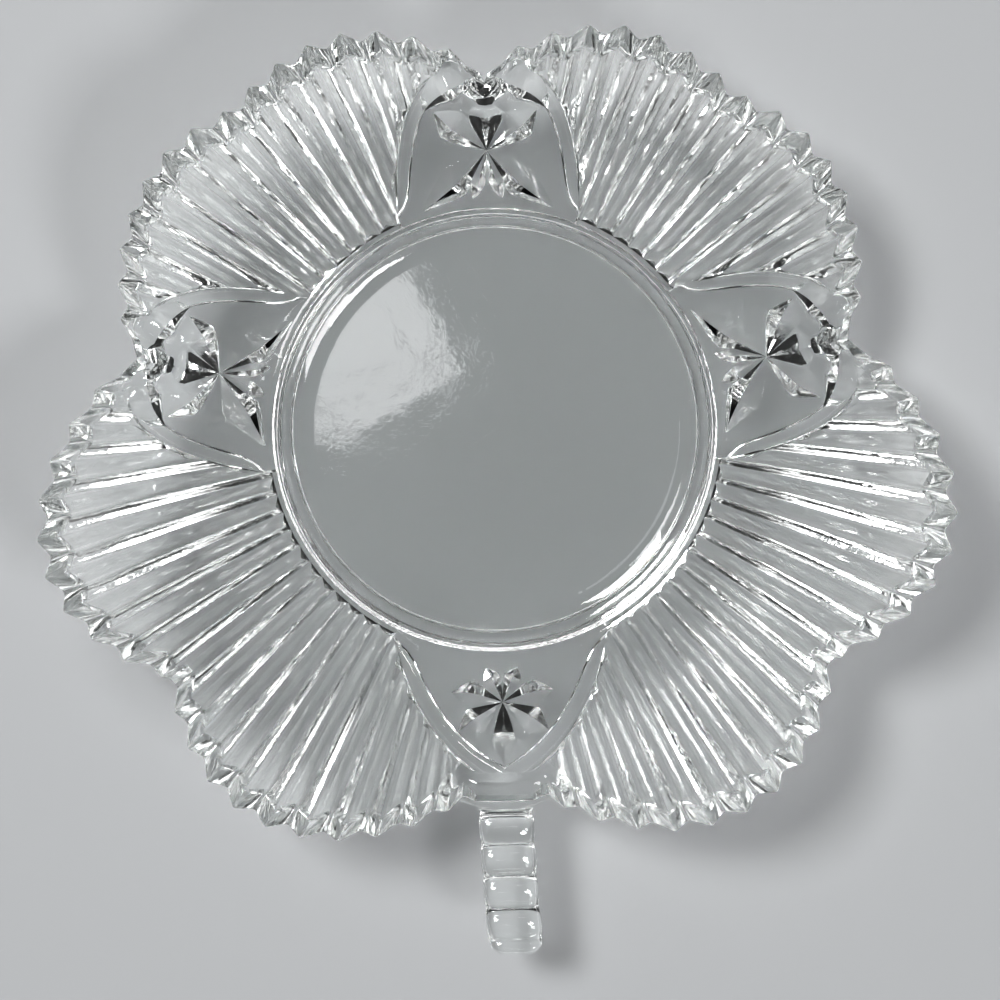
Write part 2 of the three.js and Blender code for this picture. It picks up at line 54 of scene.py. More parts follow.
# How finely the curved faces are drawn: steps along each stretch or between two rows of flutes, reaches of
# the rows next to the ring, and shares of a stretch where a row or a column lies.
FLOOR_RINGS = 4
COVE_STEPS = 12
LAND_EDGE_STEPS = 4
RING_ROWS = (0.35, 0.8)
INSIDE_START = 1.4
INSIDE_STEPS = 16
RIM_EDGE_STEPS = 5
FLUTE_STEPS = 12
EASE_SHARE = 0.4
REAR_NOTCH_STEPS = 10
SIDE_NOTCH_STEPS = 18
FRONT_LIP_STEPS = 16
BAND_SHARES = (0.02, 0.06, 0.14, 0.28, 0.5, 0.72, 0.86, 0.94, 0.98, 1.0)
PANEL_STEPS = 8
RAY_STATIONS = 12
FOOT_FLANK_SHARES = (0.3, 0.6)
FOOT_EDGE_STEPS = 6
FOOT_RINGS = 4
CORE_STEPS = 12
CORE_SIDES = 96
STEM_END_STEPS = 10
STEM_END_SHARE = 0.97

# How far a cutter stands clear of the face it cuts and of the band, and how near two points count as one, in
# millimetres. An edge stays sharp from the crease angle up, in degrees.
CUT_CLEARANCE = 0.03
PROUD_OF_BAND = 0.5
SAME_POINT = 1e-6
CREASE_ANGLE = 28.0


class GlassFace(Enum):
    """The half of the mould that shaped a face of the glass."""

    PLUNGER = 0
    MOULD = 1


class Joining(Enum):
    """How a tool's solid is combined with a body."""

    ADDED = "UNION"
    CUT_OUT = "DIFFERENCE"


def spread(start: float, end: float, count: int) -> list[float]:
    """Spaces values evenly, both ends included.

    Args:
        start: First value.
        end: Last value.
        count: Number of steps between them.

    Returns:
        The count + 1 values.
    """
    return [start + (end - start) * step / count for step in range(count + 1)]


def smooth_step(value: float, low: float, high: float) -> float:
    """Eases a value from zero at low to one at high.

    Args:
        value: Value to ease.
        low: Where the ease starts.
        high: Where the ease ends.

    Returns:
        The eased share, between zero and one.
    """
    share = min(max((value - low) / (high - low), 0.0), 1.0)
    return share * share * (3 - 2 * share)


def round_corner(before: Vector, corner: Vector, after: Vector, radius: float, steps: int) -> list[Vector]:
    """Replaces a corner of a profile by an arc.

    Args:
        before: Profile point before the corner.
        corner: The corner.
        after: Profile point after the corner.
        radius: Radius of the arc.
        steps: Facets of the arc.

    Returns:
        The arc's points, from the side of before to the side of after.
    """
    back = (before - corner).normalized()
    ahead = (after - corner).normalized()
    half_angle = back.angle(ahead) / 2
    centre = corner + (back + ahead).normalized() * radius / math.sin(half_angle)
    start = corner + back * radius / math.tan(half_angle) - centre
    end = corner + ahead * radius / math.tan(half_angle) - centre
    sweep = math.pi - 2 * half_angle
    points = []
    for share in spread(0, 1, steps):
        mixed = start * math.sin((1 - share) * sweep) + end * math.sin(share * sweep)
        points.append(centre + mixed / math.sin(sweep))
    return points


@dataclass
class MeshDraft:
    """Points in millimetres and the faces between them, before they become an object."""

    points: list[Vector] = field(default_factory=list)
    faces: list[list[int]] = field(default_factory=list)
    sides: list[GlassFace] = field(default_factory=list)

    def add_point(self, point: Vector) -> int:
        """Adds a point and returns its number."""
        self.points.append(point)
        return len(self.points) - 1

    def add_column(self, points: Iterable[Vector]) -> list[int]:
        """Adds a row of points, where a point that repeats the one before it keeps that one's number.

        Args:
            points: The row's points in order.

        Returns:
            Their numbers.
        """
        numbers: list[int] = []
        for point in points:
            if numbers and (self.points[numbers[-1]] - point).length < SAME_POINT:
                numbers.append(numbers[-1])
            else:
                numbers.append(self.add_point(point))
        return numbers

    def add_face(self, corners: Sequence[int], side: GlassFace) -> None:
        """Adds a face without its repeated corners, and leaves out one that has no area.

        Args:
            corners: Numbers of the corners in order.
            side: Half of the mould that shaped it.
        """
        kept = [corner for index, corner in enumerate(corners) if corner != corners[index - 1]]
        if len(set(kept)) >= 3:
            self.faces.append(kept)
            self.sides.append(side)

    def skin(self, columns: Sequence[Sequence[int]], side_of_row: Callable[[int], GlassFace]) -> None:
        """Skins neighbouring columns of equal length with quads.

        Args:
            columns: Numbers of the points, column by column.
            side_of_row: Gives the half of the mould for a row.
        """
        for left, right in zip(columns, columns[1:]):
            for row in range(len(left) - 1):
                self.add_face((left[row], right[row], right[row + 1], left[row + 1]), side_of_row(row))

    def to_object(self, name: str) -> bpy.types.Object:
        """Makes a mesh object in the scene.

        Args:
            name: Name of the object.

        Returns:
            The object, in metres.
        """
        mesh = bpy.data.meshes.new(name)
        mesh.from_pydata([point * MM for point in self.points], [], self.faces)
        mesh.update()
        for side in GlassFace:
            mesh.materials.append(bpy.data.materials.get(side.name) or bpy.data.materials.new(side.name))
        mesh.polygons.foreach_set("material_index", [side.value for side in self.sides])
        made = bpy.data.objects.new(name, mesh)
        bpy.context.scene.collection.objects.link(made)
        return made


def combine(body: bpy.types.Object, tool: bpy.types.Object, joining: Joining) -> None:
    """Joins a tool to a body or cuts it out, and removes the tool.

    Args:
        body: Object that keeps the result.
        tool: Closed mesh object.
        joining: Whether the tool is added or cut out.
    """
    modifier = body.modifiers.new(joining.name.lower(), "BOOLEAN")
    modifier.operation = joining.value
    modifier.solver = "MANIFOLD"
    modifier.object = tool
    graph = bpy.context.evaluated_depsgraph_get()
    joined = bpy.data.meshes.new_from_object(body.evaluated_get(graph))
    body.modifiers.clear()
    spent = body.data
    body.data = joined
    bpy.data.meshes.remove(spent)
    bpy.data.objects.remove(tool)


@dataclass(frozen=True)
class BowlForm:
    """Inner face of the dish: flat floor, cove, narrow land and flaring bowl, turned about its axis."""

    floor_radius: float = 34.0
    floor_thickness: float = 4.0
    cove_width: float = 6.5
    cove_rise: float = 4.0
    land_width: float = 1.7
    land_edge_round: float = 0.5
    ring_ease: float = 0.5
    slope: float = 0.5
    bend: float = 63.0

    @property
    def ring_radius(self) -> float:
        """Radius where the bowl starts."""
        return self.floor_radius + self.cove_width + self.land_width

    @property
    def ring_height(self) -> float:
        """Height of the land and of the bowl's lower edge."""
        return self.floor_thickness + self.cove_rise

    def profile_point(self, reach: float, depth: float) -> Vector:
        """Finds a point in the glass by its reach on the inner face and its depth square to that face.

        Args:
            reach: Distance outwards from the ring.
            depth: Distance into the glass.

        Returns:
            Radius and height.
        """
        tilt = self.slope + reach / self.bend
        secant = math.hypot(1, tilt)
        height = self.ring_height + self.slope * reach + reach * reach / (2 * self.bend)
        return Vector((self.ring_radius + reach + depth * tilt / secant, height - depth / secant))

    def well_profile(self) -> list[Vector]:
        """Draws the inner face from the middle of the floor out to the ring.

        Returns:
            Radius and height of each point.
        """
        rings = spread(0, self.floor_radius, FLOOR_RINGS)
        points = [Vector((radius, self.floor_thickness)) for radius in rings]
        for angle in spread(0, math.pi / 2, COVE_STEPS)[1:-1]:
            radius = self.floor_radius + self.cove_width * math.sin(angle)
            points.append(Vector((radius, self.ring_height - self.cove_rise * math.cos(angle))))
        edge = Vector((self.floor_radius + self.cove_width, self.ring_height))
        ring = Vector((self.ring_radius, self.ring_height))
        points += round_corner(edge - Vector((0, 1)), edge, ring, self.land_edge_round, LAND_EDGE_STEPS)
        points.append(ring - Vector((self.ring_ease, 0)))
        return points


def turned_point(profile: Vector, bearing: float) -> Vector:
    """Places a profile point of radius and height at a bearing."""
    angle = math.radians(bearing)
    return Vector((profile.x * math.sin(angle), profile.x * math.cos(angle), profile.y))


@dataclass(frozen=True)
class RimPoint:
    """A low or a high point of the rim's outline."""

    bearing: float
    reach: float


@dataclass(frozen=True)
class RimOutline:
    """Heart-shaped leaflets as arches, each a quarter of a sine from a low point up to a peak."""

    rear_notch: RimPoint = RimPoint(0.0, 21.5)
    rear_first_peak: RimPoint = RimPoint(23.3, 31.7)
    rear_dip: RimPoint = RimPoint(36.9, 29.8)
    rear_last_peak: RimPoint = RimPoint(47.5, 32.0)
    side_notch: RimPoint = RimPoint(75.8, 22.5)
    front_first_peak: RimPoint = RimPoint(103.7, 37.2)
    front_dip: RimPoint = RimPoint(124.5, 28.1)
    front_last_peak: RimPoint = RimPoint(144.3, 34.9)
    front_edge: RimPoint = RimPoint(172.9, 22.7)
    flare: float = 0.2
    tooth: float = 1.9

    def reach(self, bearing: float) -> float:
        """Gives the reach of the rim's inner edge.

        Args:
            bearing: Bearing between 0 and 180.

        Returns:
            Reach at the ridges' crests.
        """
        arches = (
            (self.rear_notch, self.rear_first_peak),
            (self.rear_dip, self.rear_first_peak),
            (self.rear_dip, self.rear_last_peak),
            (self.side_notch, self.rear_last_peak),
            (self.side_notch, self.front_first_peak),
            (self.front_dip, self.front_first_peak),
            (self.front_dip, self.front_last_peak),
            (self.front_edge, self.front_last_peak),
        )
        for low, peak in arches:
            share = (bearing - low.bearing) / (peak.bearing - low.bearing)
            if 0 <= share <= 1:
                return low.reach + (peak.reach - low.reach) * math.sin(share * math.pi / 2)
        return self.front_edge.reach


@dataclass(frozen=True)
class FluteRow:
    """Straight radial V ridges on the underside of one leaflet."""

    first_ridge: float
    last_ridge: float
    count: int
    facet_angle: float = 38.0
    ridge_ease: float = 0.1
    valley_ease: float = 0.2

    @property
    def half_pitch(self) -> float:
        """Angle from a ridge to the valley beside it."""
        return (self.last_ridge - self.first_ridge) / (self.count - 1) / 2

    def ridges(self) -> list[float]:
        """Bearings of the ridges."""
        return spread(self.first_ridge, self.last_ridge, self.count - 1)

    def share(self, bearing: float) -> float:
        """Gives the height of the rounded V.

        Args:
            bearing: Bearing between 0 and 180.

        Returns:
            The height as a share of a sharp ridge's height.
        """
        nearest = min(abs(ridge - bearing) for ridge in self.ridges())
        phase = min(nearest / self.half_pitch, 1.0)
        if phase < self.ridge_ease:
            return 1 - self.ridge_ease / 2 - phase * phase / (2 * self.ridge_ease)
        if phase > 1 - self.valley_ease:
            return self.valley_ease / 2 + (1 - phase) ** 2 / (2 * self.valley_ease)
        return 1 - phase

    def depth(self, radius: float) -> float:
        """Gives the height of a sharp ridge at a radius, from the angle of its facets."""
        return radius * math.radians(self.half_pitch) * math.tan(math.radians(self.facet_angle))

    def bearings(self) -> list[float]:
        """Lists the bearings of the columns that draw the rounded ridges and valleys.

        Returns:
            The bearings in order.
        """
        ridge_phases = (0.0, EASE_SHARE * self.ridge_ease, self.ridge_ease)
        phases = (*ridge_phases, 0.5, 1 - self.valley_ease, 1 - EASE_SHARE * self.valley_ease)
        offsets = [sign * phase * self.half_pitch for phase in phases for sign in (-1, 1)]
        drawn = {ridge + offset for ridge in self.ridges() for offset in offsets}
        drawn |= {ridge + sign * self.half_pitch for ridge in self.ridges() for sign in (-1, 1)}
        return sorted(drawn)


@dataclass(frozen=True)
class Ray:
    """One leaf-shaped mitre cut: a star's ray, or another cut of its panel with an origin of its own."""

    turn: float
    length: float
    width: float = 6.4
    belly: float = 0.62
    facet_angle: float = 38.0
    origin_out: float = 0.0
    origin_aside: float = 0.0
    bow: float = 0.0
    edge_ease: float = 0.3
    edge_spread: float = 0.9
    fullness: float = 0.3

    @property
    def depth(self) -> float:
        """Depth of the keel at the belly, from the angle of the facets."""
        return self.width / 2 * math.tan(math.radians(self.facet_angle))

    def swell(self, share: float) -> float:
        """Gives the cut's width and depth along it as a share: a kite with slightly bowed edges."""
        rising = share / self.belly if share < self.belly else (1 - share) / (1 - self.belly)
        return rising * (1 + self.fullness * (1 - rising))

    def keel(self, share: float) -> tuple[float, float]:
        """Gives the place of the keel along the cut.

        Args:
            share: Share of the cut's length.

        Returns:
            Distances outwards and aside from the star's centre.
        """
        heading = math.radians(self.turn)
        along = self.length * share
        aside = self.bow * 4 * share * (1 - share)
        out = self.origin_out + along * math.cos(heading) - aside * math.sin(heading)
        return out, self.origin_aside + along * math.sin(heading) + aside * math.cos(heading)


@dataclass(frozen=True)
class StarPanel:
    """A shield between two leaflets, with a raised band along its border and a mitre-cut star."""

    bearing: float
    half_angle: float
    shoulder_angle: float
    shoulder_reach: float
    tip_reach: float
    bow: float
    star_reach: float
    rays: tuple[Ray, ...]
    wall: float = 3.6
    band_width: float = 3.4
    band_rise: float = 1.1
    band_flank: float = 0.06
    band_roundness: float = 2.4
    band_limit: float = 0.7
    band_blend: int = 4
    ledge: float = 0.8
    ledge_limit: float = 0.3

    def border(self, bearing: float) -> float:
        """Gives the reach of the border, where the panel ends and the leaflet starts.

        Args:
            bearing: Bearing between 0 and 180.

        Returns:
            The reach, or zero outside the panel.
        """
        side = abs(bearing - self.bearing)
        if side >= self.half_angle:
            return 0.0
        if side < self.shoulder_angle:
            arch = math.sin(side / self.shoulder_angle * math.pi / 2)
            return self.tip_reach + (self.shoulder_reach - self.tip_reach) * arch
        share = (side - self.shoulder_angle) / (self.half_angle - self.shoulder_angle)
        return self.shoulder_reach * ((1 - self.bow) * (1 - share) + self.bow * math.cos(share * math.pi / 2))

    def band_reach(self, bearing: float, ring_radius: float) -> float:
        """Gives the band's width measured along the reach, longer where the border runs steeply.

        Args:
            bearing: Bearing of the column.
            ring_radius: Radius of the ring.

        Returns:
            Width of the band along the column, limited to a share of the panel's own reach there.
        """
        step = 0.05
        border = self.border(bearing)
        fall = (self.border(bearing + step) - self.border(bearing - step)) / math.radians(2 * step)
        stretch = math.hypot(1, fall / (ring_radius + border))
        if border <= 0:
            return 0.0
        power = -self.band_blend
        return ((self.band_width * stretch) ** power + (self.band_limit * border) ** power) ** (1 / power)

    def band_share(self, share: float) -> float:
        """Gives the band's rise across its width as a share: a rounded bolster."""
        return math.sqrt(max(0.0, 1 - abs(2 * share - 1) ** self.band_roundness))


@dataclass(frozen=True)
class StemHandle:
    """Short ribbed stem that grows out of the underside below the front edge."""

    length: float = 30.8
    width: float = 10.4
    thickness: float = 6.8
    root_thickness: float = 3.2
    root_depth: float = 6.0
    thickening: float = 12.0
    drop: float = 3.4
    rib_pitch: float = 6.2
    rib_height: float = 1.2
    under_rib_height: float = 1.6
    rib_swell: float = 0.25
    bend: float = 1.3
    end_radius: float = 3.0
    end_flatness: float = 0.7
    collar_flare: float = 5.2
    collar_length: float = 3.4
    section_points: int = 48
    steps_per_rib: int = 12

    def section(self, run: float, root: float, top: float) -> list[Vector]:
        """Draws one rounded section.

        Args:
            run: Distance outwards from the dish's axis.
            root: Run of the rim that the stem grows from.
            top: Height of the stem's top.

        Returns:
            Points round the section.
        """
        out = run - root
        share = min(max(out / self.length, 0.0), 1.0)
        collar = self.collar_flare * (1 - smooth_step(out, 0, self.collar_length))
        into_end = min(max(out - (self.length - self.end_radius), 0.0), self.end_radius)
        rounding = self.end_radius - math.sqrt(self.end_radius**2 - into_end**2)
        groove = 1 - abs(math.sin(math.pi * (out - self.collar_length) / self.rib_pitch))
        groove *= smooth_step(out, 0, self.collar_length)
        thickness = self.root_thickness + (self.thickness - self.root_thickness) * smooth_step(
            out, -self.root_depth, self.thickening
        )
        half_width = self.width / 2 + collar - rounding - self.rib_swell * groove
        half_thickness = thickness / 2 - self.end_flatness * rounding
        ring = []
        for index in range(self.section_points):
            angle = 2 * math.pi * index / self.section_points
            across = math.copysign(math.sqrt(abs(math.cos(angle))), math.cos(angle))
            up = math.copysign(math.sqrt(abs(math.sin(angle))), math.sin(angle))
            cut = self.rib_height if up > 0 else self.under_rib_height
            height = top - thickness / 2 + (half_thickness - cut * groove) * up
            ring.append(Vector((self.bend * share * share + half_width * across, -run, height)))
        return ring

    def build(self, bowl: BowlForm, edge_reach: float, wall: float) -> bpy.types.Object:
        """Makes the stem as a closed loft that starts in the wall.

        Args:
            bowl: Inner face of the dish.
            edge_reach: Reach of the front edge.
            wall: Thickness of the glass.

        Returns:
            The stem, cut clear of the room inside the bowl.
        """
        root = bowl.profile_point(edge_reach, wall).x
        top = bowl.profile_point(edge_reach, 0).y - self.drop
        shoulder = root + self.length - self.end_radius
        step = self.rib_pitch / self.steps_per_rib
        first = root + self.collar_length
        runs = spread(root - self.root_depth, first, round((self.root_depth + self.collar_length) / step))
        runs += [first + step * count for count in range(1, math.ceil((shoulder - first) / step))]
        end_angles = spread(0, STEM_END_SHARE * math.pi / 2, STEM_END_STEPS)
        runs += [shoulder + self.end_radius * math.sin(angle) for angle in end_angles]
        draft = MeshDraft()
        rings = [draft.add_column(self.section(run, root, top)) for run in runs]
        columns = [ring + ring[:1] for ring in rings]
        for near, far in zip(columns, columns[1:]):
            for index in range(self.section_points):
                draft.add_face((near[index], near[index + 1], far[index + 1], far[index]), GlassFace.MOULD)
        draft.add_face(list(reversed(rings[0])), GlassFace.MOULD)
        draft.add_face(rings[-1], GlassFace.MOULD)
        stem = draft.to_object("stem")
        combine(stem, self.bowl_core(bowl, edge_reach, wall), Joining.CUT_OUT)
        return stem

    def bowl_core(self, bowl: BowlForm, edge_reach: float, wall: float) -> bpy.types.Object:
        """Makes the room inside the bowl, down to the middle of the wall, as a closed solid.

        Args:
            bowl: Inner face of the dish.
            edge_reach: Reach of the front edge.
            wall: Thickness of the glass.

        Returns:
            The solid of revolution.
        """
        profile = [Vector((0, bowl.ring_height))]
        profile += [bowl.profile_point(reach, wall / 2) for reach in spread(0, edge_reach, CORE_STEPS)]
        profile.append(Vector((0, profile[-1].y + 2 * wall)))
        draft = MeshDraft()
        low = draft.add_point(turned_point(profile[0], 0))
        high = draft.add_point(turned_point(profile[-1], 0))
        columns = []
        for bearing in spread(0, 360, CORE_SIDES)[:-1]:
            middle = [draft.add_point(turned_point(point, bearing)) for point in profile[1:-1]]
            columns.append([high, *reversed(middle), low])
        draft.skin(columns + columns[:1], lambda row: GlassFace.MOULD)
        return draft.to_object("bowl_core")


@dataclass(frozen=True)
class PressedDish:
    """The whole glass body: well, fluted leaflets, star panels and foot as one closed surface."""

    bowl: BowlForm = BowlForm()
    rim: RimOutline = RimOutline()
    wall: float = 2.4
    rear_flutes: FluteRow = FluteRow(5.0, 70.5, 15)
    front_flutes: FluteRow = FluteRow(81.2, 171.1, 20)
    front_lip_angle: float = 4.6
    front_lip_share: float = 0.5
    notch_lip: float = 1.2
    shield_star_reach: float = 9.0
    front_star_reach: float = 7.4
    least_turn: float = 0.06
    facet_limit: float = 0.8
    hip_slope: float = 1.0
    hip_depth: float = 3.6
    bead_slope: float = 0.84
    bead_reach: float = -0.8
    groove_reach: float = -1.5
    groove_depth: float = 2.9
    ring_reach: float = -2.2
    ring_depth: float = 3.85
    rim_round: float = 0.5
    foot_inset: float = 3.2
    foot_height: float = 2.2
    foot_round: float = 0.8
    foot_chamfer: float = 0.5
    rays: tuple[Ray, ...] = (
        Ray(0, 8.6, 6.8, belly=0.78),
        Ray(0, 9.0, 6.4, belly=0.7, facet_angle=34.0, origin_out=6.0),
        Ray(53, 11.6, 5.8, belly=0.66, facet_angle=44.0),
        Ray(-53, 11.6, 5.8, belly=0.66, facet_angle=44.0),
        Ray(132, 16.4, 6.0, belly=0.5, facet_angle=44.0),
        Ray(-132, 16.4, 6.0, belly=0.5, facet_angle=44.0),
        Ray(163, 9.2, 3.4),
        Ray(-163, 9.2, 3.4),
        Ray(116, 11.4, 4.6, belly=0.5, origin_out=12.0, origin_aside=0.8, bow=-1.7),
        Ray(-116, 11.4, 4.6, belly=0.5, origin_out=12.0, origin_aside=-0.8, bow=1.7),
    )
    front_rays: tuple[Ray, ...] = (
        Ray(0, 10.5, 5.0),
        Ray(60, 9.6, 5.0, facet_angle=44.0),
        Ray(-60, 9.6, 5.0, facet_angle=44.0),
        Ray(102, 9.6, 5.0, facet_angle=44.0),
        Ray(-102, 9.6, 5.0, facet_angle=44.0),
        Ray(153, 6.6, 4.0),
        Ray(-153, 6.6, 4.0),
    )

    def panels(self) -> tuple[StarPanel, ...]:
        """Lays out the panels of one half of the dish.

        Returns:
            The rear, the side and the front panel.
        """
        rear, side = (
            StarPanel(
                bearing=notch.bearing,
                half_angle=23.0,
                shoulder_angle=6.0,
                shoulder_reach=23.4,
                tip_reach=notch.reach - self.notch_lip,
                bow=1.0,
                star_reach=self.shield_star_reach,
                rays=self.rays,
            )
            for notch in (self.rim.rear_notch, self.rim.side_notch)
        )
        front_tip = self.rim.front_edge.reach - self.notch_lip
        front = StarPanel(
            bearing=180.0,
            half_angle=28.0,
            shoulder_angle=0.0,
            shoulder_reach=front_tip,
            tip_reach=front_tip,
            bow=0.5,
            star_reach=self.front_star_reach,
            rays=self.front_rays,
        )
        return rear, side, front

    def border(self, bearing: float) -> float:
        """Gives the reach where the leaflet ends and a panel starts, or zero where there is no panel."""
        return max(panel.border(bearing) for panel in self.panels())

    def flutes(self, bearing: float) -> FluteRow:
        """Gives the row of flutes on the leaflet at a bearing."""
        return self.rear_flutes if bearing <= self.rim.side_notch.bearing else self.front_flutes

    def flute_share(self, bearing: float) -> float:
        """Gives the ridge height, with the flat lip over the stem.

        Args:
            bearing: Bearing between 0 and 180.

        Returns:
            The height as a share of a sharp ridge's height.
        """
        valley = self.front_flutes.last_ridge + self.front_flutes.half_pitch
        lip = (bearing - valley) / (180 - self.front_lip_angle - valley)
        return max(self.flutes(bearing).share(bearing), self.front_lip_share * min(lip, 1.0))

    def flute_rise(self, bearing: float) -> float:
        """Gives how much the flutes thicken the wall at a bearing, for each millimetre of radius."""
        return self.flute_share(bearing) * self.flutes(bearing).depth(1.0)

    def fluted_depth(self, bearing: float, reach: float) -> float:
        """Gives the thickness of a leaflet at a bearing and a reach."""
        return self.wall + self.flute_rise(bearing) * (self.bowl.ring_radius + reach)

    def flute_end(self, bearing: float) -> tuple[float, float, float]:
        """Gives the facet that ends a flute: a bead at the ring, or a hip at a panel's border.

        Args:
            bearing: Bearing between 0 and 180.

        Returns:
            The facet's lower reach, its depth there, and how its depth grows with the reach.
        """
        border = self.border(bearing)
        if border > 0:
            return border, self.hip_depth, self.hip_slope
        bead_depth = self.wall + self.flutes(bearing).depth(self.bowl.ring_radius)
        return self.bead_reach, bead_depth, -self.bead_slope

    def bearings(self) -> list[float]:
        """Lists the bearings of all columns round the dish, with a column on every crease.

        Returns:
            The bearings in order, once round.
        """
        rim = self.rim
        creases = {0.0, 180.0, rim.rear_dip.bearing, rim.side_notch.bearing, rim.front_dip.bearing}
        creases |= {rim.front_edge.bearing, 180 - self.front_lip_angle}
        for panel in self.panels():
            for angle in (panel.half_angle, panel.shoulder_angle):
                creases |= {panel.bearing - angle, panel.bearing + angle}
        kept = sorted(bearing for bearing in creases if 0 <= bearing <= 180)
        leads = spread(0, self.rear_flutes.first_ridge, REAR_NOTCH_STEPS)
        leads += spread(self.rear_flutes.last_ridge, self.front_flutes.first_ridge, SIDE_NOTCH_STEPS)
        leads += spread(self.front_flutes.last_ridge, 180, FRONT_LIP_STEPS)
        for bearing in self.rear_flutes.bearings() + self.front_flutes.bearings() + leads:
            if 0 < bearing < 180 and all(abs(bearing - other) > self.least_turn for other in kept):
                kept.append(bearing)
        half = sorted(kept)
        return half + [360 - bearing for bearing in reversed(half[1:-1])]

    def underside(self, bearing: float) -> list[Vector]:
        """Draws the underside of one column from the rim in to the ring.

        Args:
            bearing: Bearing between 0 and 180.

        Returns:
            Radius and height of each point.
        """
        bowl = self.bowl
        start, edge_depth, slope = self.flute_end(bearing)
        rim = self.rim.reach(bearing)
        rim += self.rim.flare * self.fluted_depth(bearing, rim) - self.rim_round
        facet_at_ring = edge_depth - slope * start
        meeting = (facet_at_ring - self.fluted_depth(bearing, 0)) / (self.flute_rise(bearing) - slope)
        meeting = min(max(meeting, start), start + self.facet_limit * (rim - start))
        reaches = spread(rim, meeting, FLUTE_STEPS)
        points = [bowl.profile_point(reach, self.fluted_depth(bearing, reach)) for reach in reaches]
        points.append(bowl.profile_point(start, edge_depth))
        panel = max(self.panels(), key=lambda each: each.border(bearing))
        inside = panel.border(bearing) > 0
        band = panel.band_reach(bearing, bowl.ring_radius)
        for share in BAND_SHARES:
            rise = panel.band_rise * panel.band_share(share)
            depth = edge_depth + (panel.wall + rise - edge_depth) * min(share / panel.band_flank, 1.0)
            points.append(bowl.profile_point(start - band * share, depth if inside else edge_depth))
        ledge = min(panel.ledge, panel.ledge_limit * (start - band)) if inside else start
        for reach in spread(start - band, ledge, PANEL_STEPS)[1:]:
            points.append(bowl.profile_point(reach, panel.wall if inside else edge_depth))
        points.append(bowl.profile_point(self.groove_reach, self.groove_depth))
        points.append(bowl.profile_point(self.ring_reach, self.ring_depth))
        return points

    def foot_profile(self) -> list[Vector]:
        """Draws the foot from below the ring in to the axis.

        Returns:
            Radius and height of each point, without the one on the axis.
        """
        ring = self.bowl.profile_point(self.ring_reach, self.ring_depth)
        radius = self.bowl.ring_radius - self.foot_inset
        shoulder = Vector((radius, self.foot_height))
        heel = Vector((radius, 0))
        points = [ring.lerp(shoulder, share) for share in FOOT_FLANK_SHARES]
        points += round_corner(ring, shoulder, heel, self.foot_round, FOOT_EDGE_STEPS)
        points += round_corner(shoulder, heel, Vector((0, 0)), self.foot_chamfer, FOOT_EDGE_STEPS)
        points += [Vector((inner, 0)) for inner in spread(radius - self.foot_chamfer, 0, FOOT_RINGS)[1:-1]]
        return points

    def column(self, bearing: float) -> tuple[list[Vector], int]:
        """Draws one upright section of the glass from the floor out over the rim and back to the axis.

        Args:
            bearing: Bearing round the dish.

        Returns:
            The points without the two on the axis, and the row where the rim's outer half starts.
        """
        bowl = self.bowl
        side = min(bearing, 360 - bearing)
        reach = self.rim.reach(side)
        depth = self.fluted_depth(side, reach)
        edge = self.rim_round
        notch = self.rim.tooth * (1 - self.flute_share(side))
        slant = self.rim.flare + notch / depth
        inner = reach - notch
        profile = bowl.well_profile()[1:]
        steps = [*RING_ROWS, *spread(INSIDE_START, inner - edge, INSIDE_STEPS)]
        profile += [bowl.profile_point(step, 0) for step in steps]
        for angle in spread(0, math.pi / 2, RIM_EDGE_STEPS)[1:]:
            inward = edge * (1 - math.cos(angle))
            profile.append(bowl.profile_point(inner - edge + edge * math.sin(angle) + slant * inward, inward))
        middle = len(profile)
        profile.append(bowl.profile_point(inner + slant * depth / 2, depth / 2))
        for angle in spread(0, math.pi / 2, RIM_EDGE_STEPS)[:-1]:
            inward = depth - edge * (1 - math.sin(angle))
            profile.append(bowl.profile_point(inner - edge * (1 - math.cos(angle)) + slant * inward, inward))
        profile += self.underside(side)
        profile += self.foot_profile()
        return [turned_point(point, bearing) for point in profile], middle

    def build(self) -> bpy.types.Object:
        """Makes the glass body, cuts its stars and joins the stem.

        Returns:
            The finished mesh object.
        """
        draft = MeshDraft()
        floor = draft.add_point(Vector((0, 0, self.bowl.floor_thickness)))
        base = draft.add_point(Vector((0, 0, 0)))
        columns = []
        middle = 0
        for bearing in self.bearings():
            points, middle = self.column(bearing)
            columns.append([floor, *draft.add_column(points), base])
        draft.skin(
            columns + columns[:1],
            lambda row: GlassFace.PLUNGER if row <= middle else GlassFace.MOULD,
        )
        dish = draft.to_object("dish_glass")
        for panel in self.panels():
            for ray in panel.rays:
                self.cut_ray(dish, panel, ray, panel.bearing)
                if 0 < panel.bearing < 180:
                    self.cut_ray(dish, panel, ray, -panel.bearing)
        combine(dish, StemHandle().build(self.bowl, self.rim.front_edge.reach, self.wall), Joining.ADDED)
        return dish

    def cut_ray(self, dish: bpy.types.Object, panel: StarPanel, ray: Ray, bearing: float) -> None:
        """Cuts one leaf-shaped V groove into a panel's underside.

        Args:
            dish: Glass body.
            panel: Panel that holds the star.
            ray: The cut.
            bearing: Bearing of the panel's middle line.
        """
        heading = math.radians(ray.turn)
        star_radius = self.bowl.ring_radius + panel.star_reach

        def place(share: float, aside: float, depth: float) -> Vector:
            """Places a point of the cutter in the dish.

            Args:
                share: Share of the ray's length.
                aside: Distance beside the keel.
                depth: Depth in the glass.

            Returns:
                The point.
            """
            out, beside = ray.keel(share)
            outward = star_radius + out - aside * math.sin(heading)
            across = beside + aside * math.cos(heading)
            reach = math.hypot(outward, across) - self.bowl.ring_radius
            turn = math.degrees(math.atan2(across, outward))
            return turned_point(self.bowl.profile_point(reach, depth), bearing + turn)

